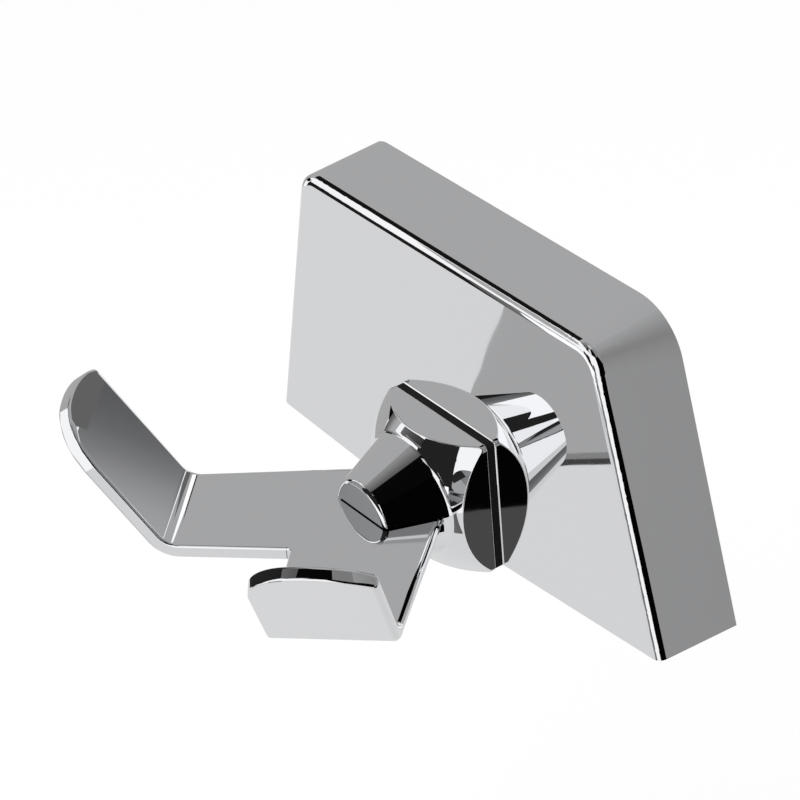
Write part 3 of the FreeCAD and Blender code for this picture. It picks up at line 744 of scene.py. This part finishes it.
def reflected_card(name, azimuths, elevations, greys, layer, lean):
    """A card that is seen only in the polished metal: a piece of a far sphere round the boss, between
    two azimuths and two elevations, in degrees. Its greys are display values from 0 to 1 at equal
    steps of azimuth. Lean moves its upper edge to the right by that many degrees for each degree of
    height. Cards with a lower layer number are in front."""
    share_a, share_e = np.meshgrid(np.linspace(0, 1, 33), np.linspace(0, 1, 17))
    height = elevations[0] + (elevations[1] - elevations[0]) * share_e
    turn = azimuths[0] + (azimuths[1] - azimuths[0]) * share_a + lean * (height - elevations[0])
    grey = np.interp(share_a.ravel(), np.linspace(0, 1, len(greys)), greys)
    return card_object(name, away_from_boss(turn, height) * (CARD_DISTANCE + layer) + BOSS,
                       grid_faces(*turn.shape), grey, card_material("card", False))


def card_object(name, points, faces, grey, material):
    """Object of a card, seen by nothing but polished metal. Its points hold the light for its greys:
    the display value made linear, over the share of light that the metal gives back."""
    light = np.where(grey <= 0.04045, grey / 12.92, ((grey + 0.055) / 1.055) ** 2.4) / METAL_SHARE
    mesh = bpy.data.meshes.new(name)
    mesh.from_pydata(points.reshape(-1, 3), [], faces)
    colour = mesh.color_attributes.new("shade", "FLOAT_COLOR", "POINT")
    colour.data.foreach_set("color", np.stack([light, light, light, np.ones_like(light)], -1).ravel())
    mesh.materials.append(material)
    card = bpy.data.objects.new(name, mesh)
    bpy.context.scene.collection.objects.link(card)
    card.visible_camera = False
    card.visible_diffuse = False
    card.visible_shadow = False
    card.visible_transmission = False
    return card


def near_card(name, centre, across, up, greys):
    """A flat card near the hook: its points are the centre plus shares from -1 to 1 of its two
    half-sides. Only polished metal on the side it faces mirrors it, and it faces the way of the cross
    product of the half-sides."""
    centre, across, up = (np.array(value) / 1000 for value in (centre, across, up))
    share = np.linspace(-1, 1, 9)
    points = centre + share[None, :, None] * across + np.array([-1.0, 1.0])[:, None, None] * up
    grey = np.tile(np.interp(share, np.linspace(-1, 1, len(greys)), greys), 2)
    return card_object(name, points, grid_faces(2, 9), grey, card_material("card_near", True))


def card_material(name, one_sided):
    """A material that gives off the light stored in the card's points, on one side or on both."""
    if name in bpy.data.materials:
        return bpy.data.materials[name]
    material = bpy.data.materials.new(name)
    material.use_nodes = True
    tree = material.node_tree
    tree.nodes.clear()
    shade = add_node(tree, "ShaderNodeAttribute", attribute_name="shade")
    light = add_node(tree, "ShaderNodeEmission", {"Color": shade.outputs["Color"], "Strength": 1.0})
    surface = light.outputs["Emission"]
    if one_sided:
        side = add_node(tree, "ShaderNodeNewGeometry")
        clear = add_node(tree, "ShaderNodeBsdfTransparent")
        either = add_node(tree, "ShaderNodeMixShader", {
            0: side.outputs["Backfacing"], 1: surface, 2: clear.outputs["BSDF"]})
        surface = either.outputs["Shader"]
    add_node(tree, "ShaderNodeOutputMaterial", {"Surface": surface})
    return material


# what the polished metal mirrors: name, azimuths, elevations, greys from left to right, layer, lean
CARDS = (
    ("pale_table", (-180, 180), (-90, -24), (0.79, 0.83, 0.81, 0.82, 0.79), 9, 0),
    ("grey_wall_left", (-180, -76), (-24, 62), (0.63, 0.64, 0.64), 8, 0),
    ("overhead_left", (-180, -50), (62, 90), (0.6, 0.57, 0.45), 8, 0),
    ("overhead_middle", (-76, -10), (50, 90), (0.56, 0.45, 0.38, 0.33), 7, 0),
    ("pale_zenith", (-180, 180), (80.5, 90), (0.78, 0.78), 5, 0),
    ("pale_gap", (3, 26), (42, 71.5), (0.8, 0.83), 5, 0),
    ("grey_gap", (84, 114), (50, 80), (0.47, 0.47), 5, 0),
    ("dark_curtain_top", (-12, 112), (46, 90), (0.03, 0.02), 8, 0),
    ("dark_curtain_right", (54, 111), (-24, 47), (0.012, 0.012), 7, 0),
    ("grey_wall_right", (111, 180), (-24, 90), (0.58, 0.5, 0.58, 0.62), 8, 0),
    ("dark_corner", (100, 160), (-35.5, -24), (0.012, 0.012), 7, 0),
    ("dark_corner_low", (100, 160), (-54, -35.5), (0.27, 0.27), 7, 0),
    ("dark_front_low", (-5, 16), (-46, -17), (0.5, 0.36), 6, 0),
    ("dark_line", (-60, -42), (-27, 2), (0.1, 0.1), 5, 0),
    ("dark_spot", (-84, -62), (-4, 12), (0.02, 0.02), 5, 0),
    ("grey_board", (-54.9, -46), (-34.85, -27), (0.63, 0.63), 5, 0.52),
    # the next two cards are a painted shadow: a dark band along the lower edge of the grey board
    ("board_foot", (-54.9, -46), (-34.86, -34.74), (0.5, 0.5), 4, 0.52),
    ("board_line", (-54.9, -46), (-34.94, -34.84), (0.24, 0.24), 3, 0.52),
    ("dark_bar", (-118, -73), (36, 50), (0.08, 0.08), 5, 0),
    ("white_strip_left", (-152, -138.5), (33, 39.6), (1.0, 1.0), 5, 0),
    ("dark_strip_left", (-138.5, -133.5), (36, 38.3), (0.15, 0.15), 5, 0),
)

# small cards near the hook: name, centre and two half-sides in millimetres, greys along the first
NEAR_CARDS = (
    ("near_roof", (-13, -36, 40), (-17, 0, 0), (0, 14, 0), (0.64, 0.64)),
    ("near_behind", (28.5, -14.5, 28.5), (12.5, 0, 0), (-19.2, 0, 15.5), (0.02, 0.02)),
    ("near_left", (34, -79, 27), (0, 12, 0), (0, 0, 14.5), (0.1, 0.16)),
    ("near_front_dark", (23.6, -54, 18), (-9.8, 0, 0), (0, 0, 15), (0.13, 0.13)),
    ("near_front_grey", (3.8, -54, 13), (-10, 0, 0), (0, 0, 6), (0.2, 0.42)),
    ("near_front_white", (24, -53.8, 2.7), (-8, 0, 0), (0, 0, 1.7), (1.0, 1.0)),
    ("near_end", (-11.5, -45, 5), (-12.5, 0, 0), (0, 0, 17),
     (0.66, 0.65, 0.62, 0.54, 0.44, 0.39, 0.368, 0.36)),
    ("near_end_top", (-20, -14.2, 21), (11.2, 0, 0), (0, 0, 5.5), (0.375, 0.375)),
    ("near_tip", (10, -50.5, 9.3), (-6, 0, 0), (0, 0, 4.6), (0.56, 0.53)),
    ("near_inside", (20.4, -31, 4.9), (-9.4, 0, 0), (0, 0, 4.6), (1.0, 1.0)),
    ("near_beside", (6, -31, 8.4), (-5, 0, 0), (0, 0, 8), (1.0, 1.0)),
    ("near_above", (17.5, -31, 13), (-6.5, 0, 0), (0, 0, 3.4), (1.0, 1.0)),
)


def area_light(name, azimuth, elevation, distance, size, watts):
    """A square soft light that faces the boss."""
    right, up, back = facing_boss(azimuth, elevation)
    data = bpy.data.lights.new(name, "AREA")
    data.size, data.energy = size, watts
    lamp = bpy.data.objects.new(name, data)
    lamp.matrix_world = placing(right, up, back, BOSS + back * distance)
    lamp.visible_camera = False
    lamp.visible_glossy = False
    bpy.context.scene.collection.objects.link(lamp)
    return lamp


def seen_directly(tree):
    """1 for what the camera, a mirror or glass sees, and 0 for what only lights the hook."""
    path = add_node(tree, "ShaderNodeLightPath")
    seen = add_node(tree, "ShaderNodeMath", {
        0: path.outputs["Is Camera Ray"], 1: path.outputs["Is Glossy Ray"]}, operation="MAXIMUM")
    seen = add_node(tree, "ShaderNodeMath", {
        0: seen.outputs[0], 1: path.outputs["Is Transmission Ray"]}, operation="MAXIMUM")
    return seen.outputs[0]


def white_floor(colour):
    """A pale floor that keeps the shadow and glows enough to reach white."""
    ground = bpy.data.materials.new("floor")
    ground.use_nodes = True
    tree = ground.node_tree
    tree.nodes.clear()
    glow = add_node(tree, "ShaderNodeEmission", {"Color": (*colour, 1), "Strength": seen_directly(tree)})
    matte = add_node(tree, "ShaderNodeBsdfDiffuse", {"Color": (*colour, 1)})
    mix = add_node(tree, "ShaderNodeMixShader", {0: 0.8, 1: matte.outputs[0], 2: glow.outputs[0]})
    add_node(tree, "ShaderNodeOutputMaterial", {"Surface": mix.outputs[0]})
    floor = stage_plane("floor", (0, 0, -0.14), (4, 0, 0), (0, 4, 0), ground)
    floor.visible_glossy = False


def white_surroundings(scene):
    """A world that is white where it is seen and a little darker as a light."""
    world = bpy.data.worlds.new("studio")
    scene.world = world
    world.use_nodes = True
    tree = world.node_tree
    tree.nodes.clear()
    strength = add_node(tree, "ShaderNodeMapRange", {
        "Value": seen_directly(tree), "To Min": 0.6, "To Max": 1.0})
    sky = add_node(tree, "ShaderNodeBackground", {
        "Color": (1, 1, 1, 1), "Strength": strength.outputs[0]})
    add_node(tree, "ShaderNodeOutputWorld", {"Surface": sky.outputs[0]})


def photo_camera(scene):
    """The camera: the boss's middle is moved by its pixels off the picture's middle, rolled with the
    picture, and lies the camera's distance ahead."""
    level, above, back = facing_boss(CAMERA_AZIMUTH, CAMERA_ELEVATION)
    roll = math.radians(CAMERA_ROLL)
    right = math.cos(roll) * level + math.sin(roll) * above
    up = math.cos(roll) * above - math.sin(roll) * level
    aside, below = BOSS_PIXEL - PICTURE / 2
    data = bpy.data.cameras.new("camera")
    data.sensor_width, data.lens = SENSOR, CAMERA_DISTANCE * SENSOR / PICTURE
    data.clip_start, data.clip_end = 0.01, 20
    camera = bpy.data.objects.new("camera", data)
    place = BOSS + (-aside * right + below * up + CAMERA_DISTANCE * back) * PIXEL
    camera.matrix_world = placing(right, up, back, place)
    scene.collection.objects.link(camera)
    scene.camera = camera


class HOOK_OT_stage(bpy.types.Operator):
    """Set up the floor, the lights, the reflected cards and the camera"""
    bl_idname = "hook.stage"
    bl_label = "Photo stage"

    def execute(self, context):
        scene = context.scene
        scene.view_settings.view_transform = "Standard"
        white_floor(scene.hook_finish.floor)
        white_surroundings(scene)
        area_light("key", azimuth=20, elevation=55, distance=1.2, size=0.9, watts=9)
        area_light("fill", azimuth=110, elevation=35, distance=1.4, size=0.9, watts=5)
        for card in CARDS:
            reflected_card(*card)
        for card in NEAR_CARDS:
            near_card(*card)
        # as in the photograph, the cover's face doesn't mirror these
        for name in ("cone_rear", "cushion_rear", "cushion_front", "spacer", "clamp_rod"):
            bpy.data.objects[name].visible_glossy = False
        photo_camera(scene)
        return {"FINISHED"}


class HOOK_PT_panel(bpy.types.Panel):
    """Sizes, colours and steps of the robe hook"""
    bl_label = "Robe hook"
    bl_idname = "HOOK_PT_panel"
    bl_space_type = "VIEW_3D"
    bl_region_type = "UI"
    bl_category = "Robe hook"

    def draw(self, context):
        for group in (context.scene.hook_sizes, context.scene.hook_finish):
            for name in type(group).__annotations__:
                self.layout.prop(group, name)
        for step in STEPS:
            self.layout.operator(step.bl_idname)


STEPS = (HOOK_OT_finishes, HOOK_OT_strip, HOOK_OT_cushions, HOOK_OT_cones, HOOK_OT_spacer,
         HOOK_OT_clamp_screw, HOOK_OT_stage)
CLASSES = (HookSizes, HookFinish, *STEPS, HOOK_PT_panel)


def register():
    """Adds the classes, and the sizes and finish to the scene."""
    for one in CLASSES:
        bpy.utils.register_class(one)
    bpy.types.Scene.hook_sizes = bpy.props.PointerProperty(type=HookSizes)
    bpy.types.Scene.hook_finish = bpy.props.PointerProperty(type=HookFinish)


def unregister():
    """Takes them away again."""
    del bpy.types.Scene.hook_finish
    del bpy.types.Scene.hook_sizes
    for one in reversed(CLASSES):
        bpy.utils.unregister_class(one)


def main():
    """Makes the dressed hook and its stage."""
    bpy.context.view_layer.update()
    register()
    bpy.ops.hook.finishes()
    bpy.ops.hook.strip()
    bpy.ops.hook.cushions()
    bpy.ops.hook.cones()
    bpy.ops.hook.spacer()
    bpy.ops.hook.clamp_screw()
    bpy.ops.hook.stage()


if __name__ == "__main__":
    main()
